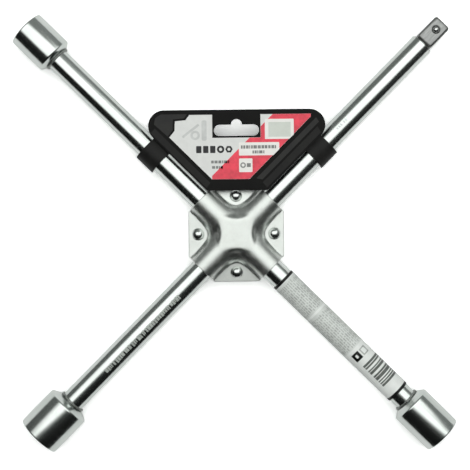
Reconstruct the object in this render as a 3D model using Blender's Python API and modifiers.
"""Four-way lug wrench: two crossing bars, three hex sockets, a sprung half-inch drive and a clip-on hanger.

The wrench lies flat. +Z is up, +X runs out along the drive arm, -X along the 21 mm arm, +Y along the
17 mm arm and -Y along the 19 mm arm. The origin is on the floor under the middle of the whole outline.
"""

import math

import bmesh
import bpy
from mathutils import Matrix, Vector

MM = 0.001

# Bars and the way each arm ends. Distances along an arm are counted from the crossing of the axes.
BAR_R = 8.0 * MM
GAP = 0.3 * MM
FLAT_GAP = 0.15 * MM
SEAT_DEPTH = 6.0 * MM
SOCKETS = {
    # name: (direction, across flats, outer diameter, back end, shoulder length, mouth, hex depth)
    "17": ((0, 1, 0), 17.0, 26.5, 170.6, 2.2, 199.6, 14.0),
    "19": ((0, -1, 0), 19.0, 28.0, 161.9, 3.2, 195.5, 17.0),
    "21": ((-1, 0, 0), 21.0, 31.0, 159.9, 3.2, 192.1, 17.0),
}
HEX_PLAY = 0.2 * MM
MOUTH_BEVEL = 1.0 * MM
SHOULDER_ROUNDING = 1.2 * MM
RELIEF_SHARE = 0.94
LEAD_IN = 0.2 * MM
RELIEF_DEPTH = 3.0 * MM
WELD_R = 9.6 * MM
WELD_LENGTH = 1.6 * MM
ROUND_STEPS = 40

# Half-inch square drive with its sprung ball.
DRIVE_DIRECTION = (1, 0, 0)
DRIVE_SIDE = 12.7 * MM
DRIVE_BEVEL = 1.3 * MM
DRIVE_START = 180.8 * MM
DRIVE_TIP = 200.0 * MM
DRIVE_COLLAR = 0.8 * MM
DRIVE_COLLAR_R = 7.3 * MM
SPIGOT_R = 4.0 * MM
SPIGOT_LENGTH = 12.0 * MM
BALL_AT = 192.9 * MM
BALL_R = 2.4 * MM
BALL_PROUD = 1.1 * MM
BALL_HOLE_R = 2.7 * MM
BALL_RIM_R = 2.25 * MM
BALL_HOLE_DEPTH = 8.5 * MM
BALL_RIM_HEIGHT = 0.5 * MM
SPRING_R = 1.5 * MM
SPRING_WIRE_R = 0.3 * MM
SPRING_TURNS = 4

# Pressed gusset plates: an octagon with flats over the arms and flanges between them.
PLATE_THICKNESS = 1.5 * MM
PLATE_ARM_FLAT = 33.5 * MM
PLATE_CORNER_ANGLE = math.radians(20)
PLATE_CHANNEL_R = 10.3 * MM
PLATE_POWER = 2.43
PLATE_FILLET = 1.2 * MM
FLANGE_FALL = 2.8 * MM
CENTRE_FLAT = 7.5 * MM
CENTRE_EDGE = 6.0 * MM
PLATE_GRID = 18
RIVET_AT = 25.8 * MM
RIVET_SHANK_R = 2.3 * MM
RIVET_HEAD_R = 4.1 * MM
RIVET_HEAD = 2.3 * MM
CROSS_WELD_R = 1.6 * MM
CROSS_WELD_HEIGHT = 2.6 * MM

# Moulded hanger, in its own plane: u to the right and v upwards along the line between the upper arms.
HANGER_CENTRE = 1.1 * MM
HANGER_TOP = 83.7 * MM
HANGER_BOTTOM = 29.3 * MM
HANGER_BOTTOM_HALF = 20.4 * MM
HANGER_CORNER_R = 10.7 * MM
HANGER_FOOT_R = 2.0 * MM
HANGER_BACK = 6.2 * MM
HANGER_THICKNESS = 2.8 * MM
POCKET_DEPTH = 1.1 * MM
CARD_THICKNESS = 0.6 * MM
CARD_PLAY = 0.3 * MM
SLOT_CENTRE = 0.9 * MM
SLOT_HALF = 15.2 * MM
SLOT_LOW = 66.0 * MM
SLOT_HIGH = 73.7 * MM
NIB_HALF = 3.7 * MM
NIB_TOP = 77.3 * MM
ROUNDING_SLACK = 0.1 * MM
CLIP_WALL = 2.0 * MM
CLIP_WIDTH = 14.5 * MM
CLIP_LEG = 5.5 * MM
CLIPS = (((0, 1, 0), 77.5 * MM), ((1, 0, 0), 80.0 * MM))

# Paper sleeve round the 19 mm arm.
LABEL_FROM = 43.7 * MM
LABEL_TO = 153.1 * MM
LABEL_PLAY = 0.2 * MM
LABEL_THICKNESS = 0.3 * MM

UP = Vector((0, 0, 1))
AXIS_HEIGHT = 0.5 * max(values[2] for values in SOCKETS.values()) * MM
CROSS = Vector(
    (
        (SOCKETS["21"][5] * MM - DRIVE_TIP) / 2,
        (SOCKETS["19"][5] - SOCKETS["17"][5]) / 2 * MM,
        AXIS_HEIGHT,
    )
)
FLANGE_OUTSIDE = FLAT_GAP + PLATE_THICKNESS


def clear_scene():
    for obj in list(bpy.data.objects):
        bpy.data.objects.remove(obj, do_unlink=True)


def collection(name):
    made = bpy.data.collections.new(name)
    bpy.context.scene.collection.children.link(made)
    return made


def material(name, colour, roughness, metallic):
    made = bpy.data.materials.new(name)
    made.use_nodes = True
    shader = made.node_tree.nodes["Principled BSDF"]
    shader.inputs["Base Color"].default_value = (*colour, 1)
    shader.inputs["Roughness"].default_value = roughness
    shader.inputs["Metallic"].default_value = metallic
    return made


def along(direction):
    """Frame at the crossing whose Z runs out along the arm and whose X points up."""
    z = Vector(direction)
    x = UP
    y = z.cross(x)
    turn = Matrix((x, y, z)).transposed().to_4x4()
    return Matrix.Translation(CROSS) @ turn


def between(height=0.0):
    """Frame of the hanger's plane: X to its right, Y up the line between the upper arms."""
    return Matrix.Translation(CROSS + height * UP) @ Matrix.Rotation(-math.pi / 4, 4, "Z")


def new_object(name, mesh, placed, group, finish=None):
    obj = bpy.data.objects.new(name, mesh)
    obj.matrix_world = placed
    group.objects.link(obj)
    if finish:
        mesh.materials.append(finish)
    else:
        obj.hide_render = True
        obj.display_type = "WIRE"
    return obj


def from_bmesh(name, shape, placed, group, finish=None):
    mesh = bpy.data.meshes.new(name)
    shape.to_mesh(mesh)
    shape.free()
    return new_object(name, mesh, placed, group, finish)


def turned(name, profile, placed, group, finish=None, ring=False, steps=ROUND_STEPS):
    """Profile of (radius, height) pairs, down the outer side, turned about the frame's Z."""
    points = [(radius, 0, height) for radius, height in profile]
    edges = [(i, i + 1) for i in range(len(points) - 1)]
    if ring:
        edges.append((len(points) - 1, 0))
    mesh = bpy.data.meshes.new(name)
    mesh.from_pydata(points, edges, [])
    obj = new_object(name, mesh, placed, group, finish)
    screw = obj.modifiers.new("turn", "SCREW")
    screw.steps = steps
    screw.render_steps = steps
    screw.use_merge_vertices = True
    screw.merge_threshold = 0.000001
    screw.use_smooth_shade = False
    return obj


def cylinder(name, radius, low, high, placed, group, finish=None, sides=ROUND_STEPS):
    shape = bmesh.new()
    middle = Matrix.Translation((0, 0, (low + high) / 2))
    bmesh.ops.create_cone(
        shape, cap_ends=True, segments=sides, radius1=radius, radius2=radius, depth=high - low, matrix=middle
    )
    return from_bmesh(name, shape, placed, group, finish)


def box(name, low, high, placed, group, finish=None):
    shape = bmesh.new()
    bmesh.ops.create_cube(shape, size=1)
    low = Vector(low)
    high = Vector(high)
    bmesh.ops.scale(shape, vec=high - low, verts=shape.verts)
    bmesh.ops.translate(shape, vec=(low + high) / 2, verts=shape.verts)
    return from_bmesh(name, shape, placed, group, finish)


def boolean(obj, other, operation="DIFFERENCE"):
    modifier = obj.modifiers.new(operation.lower(), "BOOLEAN")
    modifier.operation = operation
    modifier.object = other
    modifier.solver = "EXACT"


def rounded(corners, steps=6):
    """Outline through (u, v, radius) corners, each turned into an arc of its radius."""
    outline = []
    count = len(corners)
    for i, (u, v, radius) in enumerate(corners):
        here = Vector((u, v))
        if radius == 0:
            outline.append(here)
            continue
        before = (Vector(corners[i - 1][:2]) - here).normalized()
        after = (Vector(corners[(i + 1) % count][:2]) - here).normalized()
        half = before.angle(after) / 2
        centre = here + (before + after).normalized() * radius / math.sin(half)
        start = here + before * radius / math.tan(half) - centre
        turn = start.angle_signed(here + after * radius / math.tan(half) - centre)
        for step in range(steps + 1):
            outline.append(centre + start @ Matrix.Rotation(turn * step / steps, 2))
    return outline


def extruded(name, outline, low, high, placed, group, finish=None):
    """Flat outline drawn as a filled curve, extruded between two heights and made a mesh."""
    curve = bpy.data.curves.new(name, "CURVE")
    curve.dimensions = "2D"
    curve.fill_mode = "BOTH"
    curve.extrude = (high - low) / 2
    spline = curve.splines.new("POLY")
    spline.points.add(len(outline) - 1)
    for point, (u, v) in zip(spline.points, outline):
        point.co = (u, v, 0, 1)
    spline.use_cyclic_u = True
    drawn = bpy.data.objects.new(name + "_curve", curve)
    drawn.matrix_world = placed @ Matrix.Translation((0, 0, (low + high) / 2))
    group.objects.link(drawn)
    return meshed(drawn, name, group, finish)


def meshed(drawn, name, group, finish):
    """Mesh object in place of a curve object, with its caps welded on."""
    bpy.context.view_layer.update()
    evaluated = drawn.evaluated_get(bpy.context.evaluated_depsgraph_get())
    mesh = bpy.data.meshes.new_from_object(evaluated)
    mesh.name = name
    mesh.materials.clear()
    shape = bmesh.new()
    shape.from_mesh(mesh)
    bmesh.ops.remove_doubles(shape, verts=shape.verts, dist=0.000001)
    bmesh.ops.recalc_face_normals(shape, faces=shape.faces)
    shape.to_mesh(mesh)
    shape.free()
    placed = drawn.matrix_world.copy()
    bpy.data.objects.remove(drawn, do_unlink=True)
    return new_object(name, mesh, placed, group, finish)


def make_bar(name, ends, lap, placed, finishes, parts, cutters):
    """Round bar along the frame's Z. Half of it is cut away where it crosses the other bar."""
    low, high = ends
    bar = cylinder(name, BAR_R, low, high, placed, parts, finishes["chrome"])
    reach = BAR_R + GAP
    over = 2 * BAR_R
    if lap == "over":
        notch = ((-over, -over, -reach), (FLAT_GAP / 2, over, reach))
    else:
        notch = ((-FLAT_GAP / 2, -over, -reach), (over, over, reach))
    boolean(bar, box(name + "_lap", *notch, placed, cutters))
    return bar


def make_bars(finishes, parts, cutters):
    seats = {size: values[3] * MM + SEAT_DEPTH for size, values in SOCKETS.items()}
    make_bar("bar_17_19", (-seats["19"], seats["17"]), "under", along((0, 1, 0)), finishes, parts, cutters)
    frame = along(DRIVE_DIRECTION)
    drive_end = DRIVE_START - DRIVE_COLLAR - 2 * FLAT_GAP
    bar = make_bar("bar_21_drive", (-seats["21"], drive_end), "over", frame, finishes, parts, cutters)
    bottom = drive_end - SPIGOT_LENGTH - GAP
    bore = cylinder("spigot_bore", SPIGOT_R + GAP, bottom, drive_end + GAP, frame, cutters, sides=24)
    boolean(bar, bore)


def make_socket(size, finishes, parts, cutters):
    direction, flats, diameter, back, shoulder, mouth, hex_depth = SOCKETS[size]
    frame = along(direction)
    radius = diameter / 2 * MM
    back, shoulder, mouth, hex_depth = (value * MM for value in (back, shoulder, mouth, hex_depth))
    seat_r = BAR_R + GAP
    rounding = SHOULDER_ROUNDING
    socket = turned(
        f"socket_{size}",
        (
            (0, mouth),
            (radius - MOUTH_BEVEL, mouth),
            (radius - 0.3 * MOUTH_BEVEL, mouth - 0.3 * MOUTH_BEVEL),
            (radius, mouth - MOUTH_BEVEL),
            (radius, back + shoulder + rounding),
            (radius - 0.3 * rounding, back + shoulder + 0.3 * rounding),
            (radius - rounding, back + shoulder - 0.3 * rounding),
            (WELD_R, back),
            (seat_r, back),
            (seat_r, back + SEAT_DEPTH + FLAT_GAP),
            (0, back + SEAT_DEPTH + FLAT_GAP),
        ),
        frame,
        parts,
        finishes["chrome"],
    )
    corner_r = (flats * MM / 2 + HEX_PLAY / 2) / math.cos(math.pi / 6)
    recess = cylinder(f"hex_{size}", corner_r, mouth - hex_depth, mouth + MM, frame, cutters, sides=6)
    boolean(socket, recess)
    relief_r = flats * MM / 2 * RELIEF_SHARE
    floor = mouth - hex_depth - RELIEF_DEPTH
    relief = cylinder(f"relief_{size}", relief_r, floor, mouth - hex_depth / 2, frame, cutters, sides=36)
    boolean(socket, relief)
    lead = corner_r + LEAD_IN
    countersink = turned(
        f"countersink_{size}",
        ((0, mouth + MM), (lead + MM, mouth + MM), (lead - 2 * MM, mouth - 2 * MM), (0, mouth - 2 * MM)),
        frame,
        cutters,
    )
    boolean(socket, countersink)
    turned(
        f"weld_socket_{size}",
        (
            (WELD_R - 0.2 * MM, back - FLAT_GAP),
            (WELD_R - 0.5 * MM, back - 0.5 * WELD_LENGTH),
            (seat_r, back - WELD_LENGTH),
            (seat_r, back - FLAT_GAP),
        ),
        frame,
        parts,
        finishes["weld"],
        ring=True,
    )


def make_drive(finishes, parts, cutters):
    frame = along(DRIVE_DIRECTION)
    half = DRIVE_SIDE / 2
    corners = ((-half, -half, DRIVE_START), (half, half, DRIVE_TIP))
    drive = box("square_drive", *corners, frame, parts, finishes["steel"])
    bevel = drive.modifiers.new("bevel", "BEVEL")
    bevel.width = DRIVE_BEVEL
    bevel.segments = 2
    spigot = cylinder(
        "spigot", SPIGOT_R, DRIVE_START - SPIGOT_LENGTH, DRIVE_START + MM, frame, cutters, sides=24
    )
    boolean(drive, spigot, "UNION")
    ball_frame = ball_place(half)
    hole = turned(
        "ball_hole",
        (
            (0, MM),
            (BALL_RIM_R, MM),
            (BALL_RIM_R, 0),
            (BALL_HOLE_R, -BALL_RIM_HEIGHT),
            (BALL_HOLE_R, -BALL_HOLE_DEPTH),
            (0, -BALL_HOLE_DEPTH),
        ),
        ball_frame,
        cutters,
        steps=24,
    )
    boolean(drive, hole)
    turned(
        "weld_drive",
        (
            (DRIVE_COLLAR_R, DRIVE_START - FLAT_GAP),
            (DRIVE_COLLAR_R, DRIVE_START - FLAT_GAP - DRIVE_COLLAR),
            (SPIGOT_R + GAP, DRIVE_START - FLAT_GAP - DRIVE_COLLAR),
            (SPIGOT_R + GAP, DRIVE_START - FLAT_GAP),
        ),
        frame,
        parts,
        finishes["weld"],
        ring=True,
    )
    make_detent(half, finishes, parts)


def ball_place(height):
    """Upright frame on the drive's upper face, over the ball."""
    return Matrix.Translation(CROSS + BALL_AT * Vector(DRIVE_DIRECTION) + height * UP)


def make_detent(half, finishes, parts):
    centre = BALL_PROUD - BALL_R
    shape = bmesh.new()
    bmesh.ops.create_uvsphere(shape, u_segments=20, v_segments=12, radius=BALL_R)
    ball = from_bmesh("detent_ball", shape, ball_place(half + centre), parts, finishes["steel"])
    ball.data.shade_smooth()
    seat_on_ball = math.sqrt(BALL_R**2 - SPRING_R**2)
    top = centre - seat_on_ball - SPRING_WIRE_R - FLAT_GAP
    bottom = -BALL_HOLE_DEPTH + SPRING_WIRE_R + FLAT_GAP
    curve = bpy.data.curves.new("detent_spring", "CURVE")
    curve.dimensions = "3D"
    curve.bevel_depth = SPRING_WIRE_R
    curve.bevel_resolution = 2
    curve.use_fill_caps = True
    spline = curve.splines.new("POLY")
    per_turn = 12
    count = SPRING_TURNS * per_turn
    spline.points.add(count)
    for i, point in enumerate(spline.points):
        angle = 2 * math.pi * i / per_turn
        height = bottom + (top - bottom) * i / count
        point.co = (SPRING_R * math.cos(angle), SPRING_R * math.sin(angle), height, 1)
    drawn = bpy.data.objects.new("detent_spring_curve", curve)
    drawn.matrix_world = ball_place(half)
    parts.objects.link(drawn)
    meshed(drawn, "detent_spring", parts, finishes["steel"])


def octagon_reach(angle):
    """Distance from the centre to the plate's edge at this angle from an arm."""
    quarter = abs((angle + math.pi / 4) % (math.pi / 2) - math.pi / 4)
    if quarter <= PLATE_CORNER_ANGLE:
        return PLATE_ARM_FLAT / math.cos(quarter)
    corner = PLATE_ARM_FLAT / math.cos(PLATE_CORNER_ANGLE)
    apothem = corner * math.cos(math.pi / 4 - PLATE_CORNER_ANGLE)
    return apothem / math.cos(math.pi / 4 - quarter)


def smooth_step(t):
    t = min(max(t, 0.0), 1.0)
    return t * t * (3 - 2 * t)


def flange_level(x, y):
    """Outer surface of the flanges, which falls a little from the middle to the rim."""
    share = math.hypot(x, y) / octagon_reach(math.atan2(y, x))
    return FLANGE_OUTSIDE + FLANGE_FALL * (1 - min(share, 1.0))


def plate_height(x, y):
    """Outer surface over the bars' axes: two crossing channels, blended, with a flat square in the middle."""
    least = 0.01 * MM
    x = max(abs(x), least)
    y = max(abs(y), least)
    beside = (x**-PLATE_POWER + y**-PLATE_POWER) ** (-1 / PLATE_POWER)
    u = abs(x - y) / math.sqrt(2)
    v = (x + y) / math.sqrt(2)
    across = (u**5 + v**5) ** 0.2
    beside *= smooth_step((across - CENTRE_FLAT) / CENTRE_EDGE)
    channel = math.sqrt(max(PLATE_CHANNEL_R**2 - beside**2, 0))
    flange = flange_level(x, y)
    lift = math.sqrt((channel - flange) ** 2 + PLATE_FILLET**2)
    height = (channel + flange + lift) / 2 - PLATE_FILLET**2 / (4 * PLATE_CHANNEL_R)
    if beside > PLATE_CHANNEL_R:
        fade = math.exp(-(beside - PLATE_CHANNEL_R) / PLATE_FILLET)
        height = flange + (height - flange) * fade
    return height


def make_plate(name, side, finishes, parts, cutters):
    """Gusset plate on one side of the bars. Square rings of a grid become the rings of the octagon."""
    shape = bmesh.new()
    bmesh.ops.create_grid(shape, x_segments=PLATE_GRID, y_segments=PLATE_GRID, size=1)
    for vert in shape.verts:
        a, b, _ = vert.co
        ring = max(abs(a), abs(b))
        angle = 0.0
        if ring > 0:
            turns = round(math.atan2(b, a) / (math.pi / 2))
            lean = math.atan2(b, a) - turns * math.pi / 2
            angle = turns * math.pi / 2 + math.tan(lean) * math.pi / 4
        reach = octagon_reach(angle) * ring**0.8
        x = reach * math.cos(angle)
        y = reach * math.sin(angle)
        vert.co = (x, side * y, plate_height(x, y))
    if side < 0:
        bmesh.ops.reverse_faces(shape, faces=shape.faces)
    turn = Matrix.Identity(4) if side > 0 else Matrix.Rotation(math.pi, 4, "X")
    plate = from_bmesh(name, shape, Matrix.Translation(CROSS) @ turn, parts, finishes["plate"])
    solid = plate.modifiers.new("thickness", "SOLIDIFY")
    solid.thickness = PLATE_THICKNESS
    solid.offset = -1
    for i in range(4):
        hole = cylinder(
            f"{name}_hole_{i}", RIVET_SHANK_R + GAP, -5 * MM, 5 * MM, rivet_place(i), cutters, sides=20
        )
        boolean(plate, hole)
    return plate


def rivet_place(i):
    angle = math.pi / 4 + i * math.pi / 2
    return Matrix.Translation(CROSS + RIVET_AT * Vector((math.cos(angle), math.sin(angle), 0)))


def make_rivet(name, i, finishes, parts):
    """Dome-headed rivet through both flanges. The lower head is the formed one."""
    inner = (RIVET_AT - RIVET_HEAD_R) / math.sqrt(2)
    seat = flange_level(inner, inner) + FLAT_GAP
    steps = 4
    dome_r = (RIVET_HEAD_R**2 + RIVET_HEAD**2) / (2 * RIVET_HEAD)
    sweep = math.asin(RIVET_HEAD_R / dome_r)
    centre = seat + RIVET_HEAD - dome_r
    dome = [
        (dome_r * math.sin(sweep * k / steps), centre + dome_r * math.cos(sweep * k / steps))
        for k in range(steps + 1)
    ]
    dome[0] = (0, seat + RIVET_HEAD)
    profile = dome + [(RIVET_SHANK_R, seat), (RIVET_SHANK_R, -seat)]
    profile += [(radius, -height) for radius, height in reversed(dome)]
    turned(name, profile, rivet_place(i), parts, finishes["steel"], steps=24)


def make_cross_welds(finishes, parts):
    """Tack welds in the four corners between the bars, out of sight under the plates."""
    reach = BAR_R + GAP + CROSS_WELD_R
    corners = {"front": (1, 1), "left": (-1, 1), "back": (-1, -1), "right": (1, -1)}
    for side, (x, y) in corners.items():
        shape = bmesh.new()
        bmesh.ops.create_uvsphere(shape, u_segments=12, v_segments=8, radius=CROSS_WELD_R)
        bmesh.ops.scale(shape, vec=(1, 1, CROSS_WELD_HEIGHT / CROSS_WELD_R), verts=shape.verts)
        place = Matrix.Translation(CROSS + reach * Vector((x, y, 0)))
        from_bmesh(f"cross_weld_{side}", shape, place, parts, finishes["weld"])


def hanger_outline():
    """Trapezoid whose sloping sides run parallel to the upper arms."""
    top_half = HANGER_BOTTOM_HALF + HANGER_TOP - HANGER_BOTTOM
    return rounded(
        (
            (HANGER_CENTRE - HANGER_BOTTOM_HALF, HANGER_BOTTOM, HANGER_FOOT_R),
            (HANGER_CENTRE + HANGER_BOTTOM_HALF, HANGER_BOTTOM, HANGER_FOOT_R),
            (HANGER_CENTRE + top_half, HANGER_TOP, HANGER_CORNER_R),
            (HANGER_CENTRE - top_half, HANGER_TOP, HANGER_CORNER_R),
        )
    )


def grown(outline, distance):
    """Outline drawn anticlockwise, with every side moved outwards."""
    moved = []
    for i, here in enumerate(outline):
        before = (here - outline[i - 1]).normalized()
        after = (outline[(i + 1) % len(outline)] - here).normalized()
        normals = Vector((before.y, -before.x)) + Vector((after.y, -after.x))
        moved.append(here + normals * 2 * distance / normals.length_squared)
    return moved


def card_outline():
    """Card with a notch round the hanging slot and a stepped upper left corner."""
    corners = (
        (-15.9, 36.9),
        (9.4, 36.9),
        (51.0, 78.5),
        (51.0, 80.4),
        (17.1, 80.4),
        (17.1, 64.8),
        (-15.4, 64.8),
        (-15.4, 80.4),
        (-30.8, 80.4),
        (-33.3, 76.9),
        (-40.5, 76.2),
        (-40.8, 69.8),
        (-44.4, 65.4),
    )
    return [Vector((u * MM, v * MM)) for u, v in corners]


def slot_outline():
    """Hanging slot with a nib in the middle of its upper side."""
    end_r = (SLOT_HIGH - SLOT_LOW) / 2 - ROUNDING_SLACK
    nib_r = NIB_HALF - 3 * ROUNDING_SLACK
    left = SLOT_CENTRE - SLOT_HALF
    right = SLOT_CENTRE + SLOT_HALF
    nib_left = SLOT_CENTRE - NIB_HALF
    nib_right = SLOT_CENTRE + NIB_HALF
    return rounded(
        (
            (left, SLOT_LOW, end_r),
            (right, SLOT_LOW, end_r),
            (right, SLOT_HIGH, end_r),
            (nib_right, SLOT_HIGH, 0),
            (nib_right, NIB_TOP, nib_r),
            (nib_left, NIB_TOP, nib_r),
            (nib_left, SLOT_HIGH, 0),
            (left, SLOT_HIGH, end_r),
        )
    )


def clip_outline():
    """Upturned U in the plane across a bar, in (sideways, up) pairs."""
    inner = BAR_R + GAP
    outer = inner + CLIP_WALL
    steps = 16
    arch = [(math.cos(math.pi * k / steps), math.sin(math.pi * k / steps)) for k in range(steps + 1)]
    outline = [Vector((outer, -CLIP_LEG))]
    outline += [outer * Vector(point) for point in arch]
    outline += [Vector((-outer, -CLIP_LEG)), Vector((-inner, -CLIP_LEG))]
    outline += [inner * Vector(point) for point in reversed(arch)]
    outline += [Vector((inner, -CLIP_LEG))]
    return outline


def make_hanger(finishes, parts, cutters):
    plane = between(HANGER_BACK)
    front = HANGER_THICKNESS
    hanger = extruded("hanger", hanger_outline(), 0, front, plane, parts, finishes["plastic"])
    for i, (direction, reach) in enumerate(CLIPS):
        stand_up = Matrix(((0, 1, 0, 0), (1, 0, 0, 0), (0, 0, -1, 0), (0, 0, 0, 1)))
        frame = along(direction) @ stand_up
        span = (-reach - CLIP_WIDTH / 2, -reach + CLIP_WIDTH / 2)
        clip = extruded(f"clip_{i}", clip_outline(), *span, frame, cutters)
        boolean(hanger, clip, "UNION")
    around_card = grown(card_outline(), CARD_PLAY)
    pocket = extruded("pocket", around_card, front - POCKET_DEPTH, front + MM, plane, cutters)
    boolean(hanger, pocket)
    slot = extruded("hanging_slot", slot_outline(), -MM, front + MM, plane, cutters)
    boolean(hanger, slot)
    card_low = front - POCKET_DEPTH + FLAT_GAP
    heights = (card_low, card_low + CARD_THICKNESS)
    extruded("printed_card", card_outline(), *heights, plane, parts, finishes["card"])


def make_label(finishes, parts):
    inner = BAR_R + LABEL_PLAY
    outer = inner + LABEL_THICKNESS
    turned(
        "label_sleeve",
        ((outer, LABEL_TO), (outer, LABEL_FROM), (inner, LABEL_FROM), (inner, LABEL_TO)),
        along((0, -1, 0)),
        parts,
        finishes["paper"],
        ring=True,
    )


def main():
    clear_scene()
    parts = collection("lug_wrench")
    cutters = collection("cutters")
    finishes = {
        "chrome": material("polished_chrome", (0.72, 0.73, 0.73), 0.12, 1.0),
        "steel": material("plain_steel", (0.55, 0.55, 0.54), 0.35, 1.0),
        "weld": material("weld_bead", (0.35, 0.35, 0.35), 0.45, 1.0),
        "plate": material("satin_zinc", (0.72, 0.74, 0.71), 0.38, 1.0),
        "plastic": material("black_plastic", (0.02, 0.02, 0.02), 0.5, 0.0),
        "card": material("printed_card", (0.85, 0.84, 0.83), 0.5, 0.0),
        "paper": material("label_paper", (0.8, 0.82, 0.8), 0.55, 0.0),
    }
    make_bars(finishes, parts, cutters)
    for size in SOCKETS:
        make_socket(size, finishes, parts, cutters)
    make_drive(finishes, parts, cutters)
    make_plate("front_gusset_plate", 1, finishes, parts, cutters)
    make_plate("back_gusset_plate", -1, finishes, parts, cutters)
    for i, side in enumerate(("top", "left", "bottom", "right")):
        make_rivet(f"rivet_{side}", i, finishes, parts)
    make_cross_welds(finishes, parts)
    make_hanger(finishes, parts, cutters)
    make_label(finishes, parts)


main()
